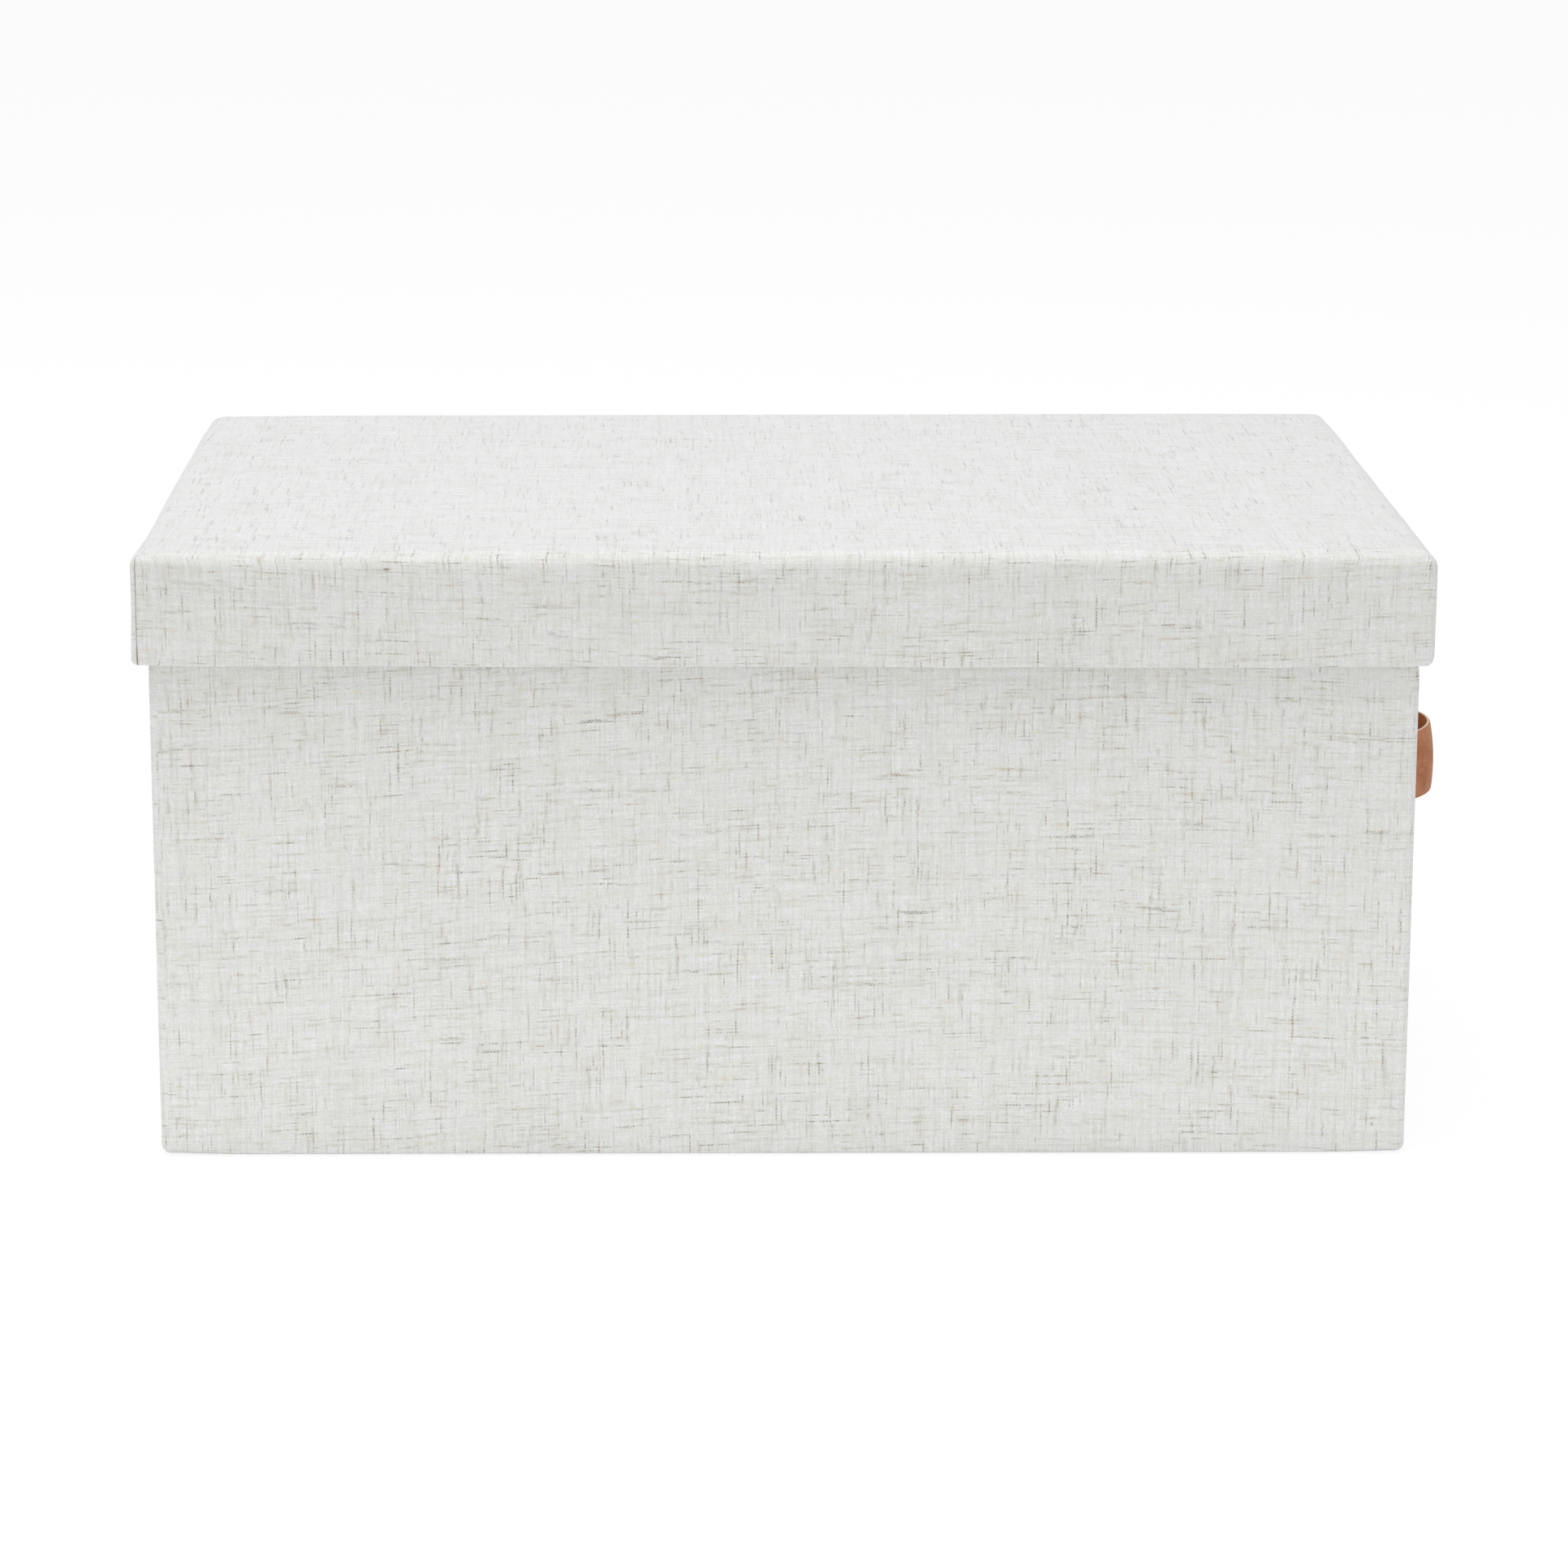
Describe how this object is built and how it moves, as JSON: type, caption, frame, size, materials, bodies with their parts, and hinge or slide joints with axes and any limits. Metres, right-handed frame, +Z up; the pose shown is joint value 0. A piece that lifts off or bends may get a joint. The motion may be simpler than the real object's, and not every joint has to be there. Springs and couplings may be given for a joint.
{
  "type": "lidded storage box",
  "caption": "Rectangular board box covered in off-white linen-look cloth, with a padded lift-off lid and a leather pull on its right-hand end, for household storage.",
  "frame": {"origin": "centre of the box's base, on the surface that it stands on", "axes": "+X along the box towards the end with the pull, +Y from front to back, +Z up"},
  "size_m": [0.4744, 0.3, 0.218],
  "materials": {
    "linen_cloth": "plain weave with slubs, matt",
    "lining_cloth": "fine plain weave, matt",
    "greyboard": "pressed grey pulp, matt",
    "paper_tape": "brown kraft paper, matt",
    "base_paper": "uncoated paper, matt",
    "wadding": "fluffy white wadding, matt",
    "tan_leather": "smooth tan leather with pale cut edges",
    "rivet_metal": "aged satin"
  },
  "bodies": {
    "box": {"front_board": "greyboard", "back_board": "greyboard", "left_end_board": "greyboard", "right_end_board": "greyboard", "base_board": "greyboard", "corner_tapes": "paper_tape", "outer_cloth": "linen_cloth", "wall_lining": "lining_cloth", "floor_lining": "lining_cloth", "base_sheet": "base_paper", "pull_strap": "tan_leather", "rivets": "rivet_metal", "rivet_caps": "rivet_metal"},
    "lid": {"lid_top_board": "greyboard", "lid_front_board": "greyboard", "lid_back_board": "greyboard", "lid_left_end_board": "greyboard", "lid_right_end_board": "greyboard", "lid_corner_tapes": "paper_tape", "lid_padding": "wadding", "lid_cloth": "linen_cloth", "lid_ceiling_lining": "lining_cloth", "lid_rim_lining": "lining_cloth"}
  },
  "joints": [
    {"name": "lid_lift", "type": "slide", "parent": "box", "child": "lid", "axis": [0, 0, 1], "range_m": [0, 0.12]}
  ]
}
